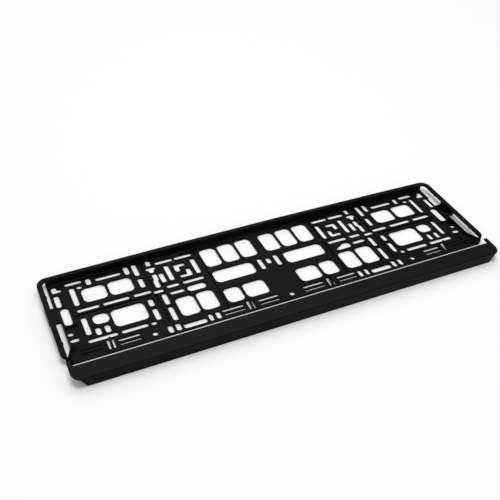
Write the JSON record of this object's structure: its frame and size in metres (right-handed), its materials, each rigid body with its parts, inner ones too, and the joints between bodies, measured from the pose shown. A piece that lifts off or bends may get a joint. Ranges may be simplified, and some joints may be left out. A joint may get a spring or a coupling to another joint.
{
  "type": "number plate holder",
  "caption": "Long black plastic tray with a raised rim and a pattern of slots and windows that holds a number plate, and a clip-on strip lying beside its lower edge.",
  "frame": {"origin": "middle of the tray's flat back face, which lies on the car", "axes": "+X along the number plate, +Y to the plate's top edge, +Z out of the plate, away from the car"},
  "size_m": [0.53, 0.1661, 0.0131],
  "materials": {
    "tray_plastic": "black moulded plastic, satin",
    "strip_plastic": "black moulded plastic, fine grain"
  },
  "bodies": {
    "root": {"holder_tray": "tray_plastic", "clip_strip": "strip_plastic"}
  },
  "joints": []
}
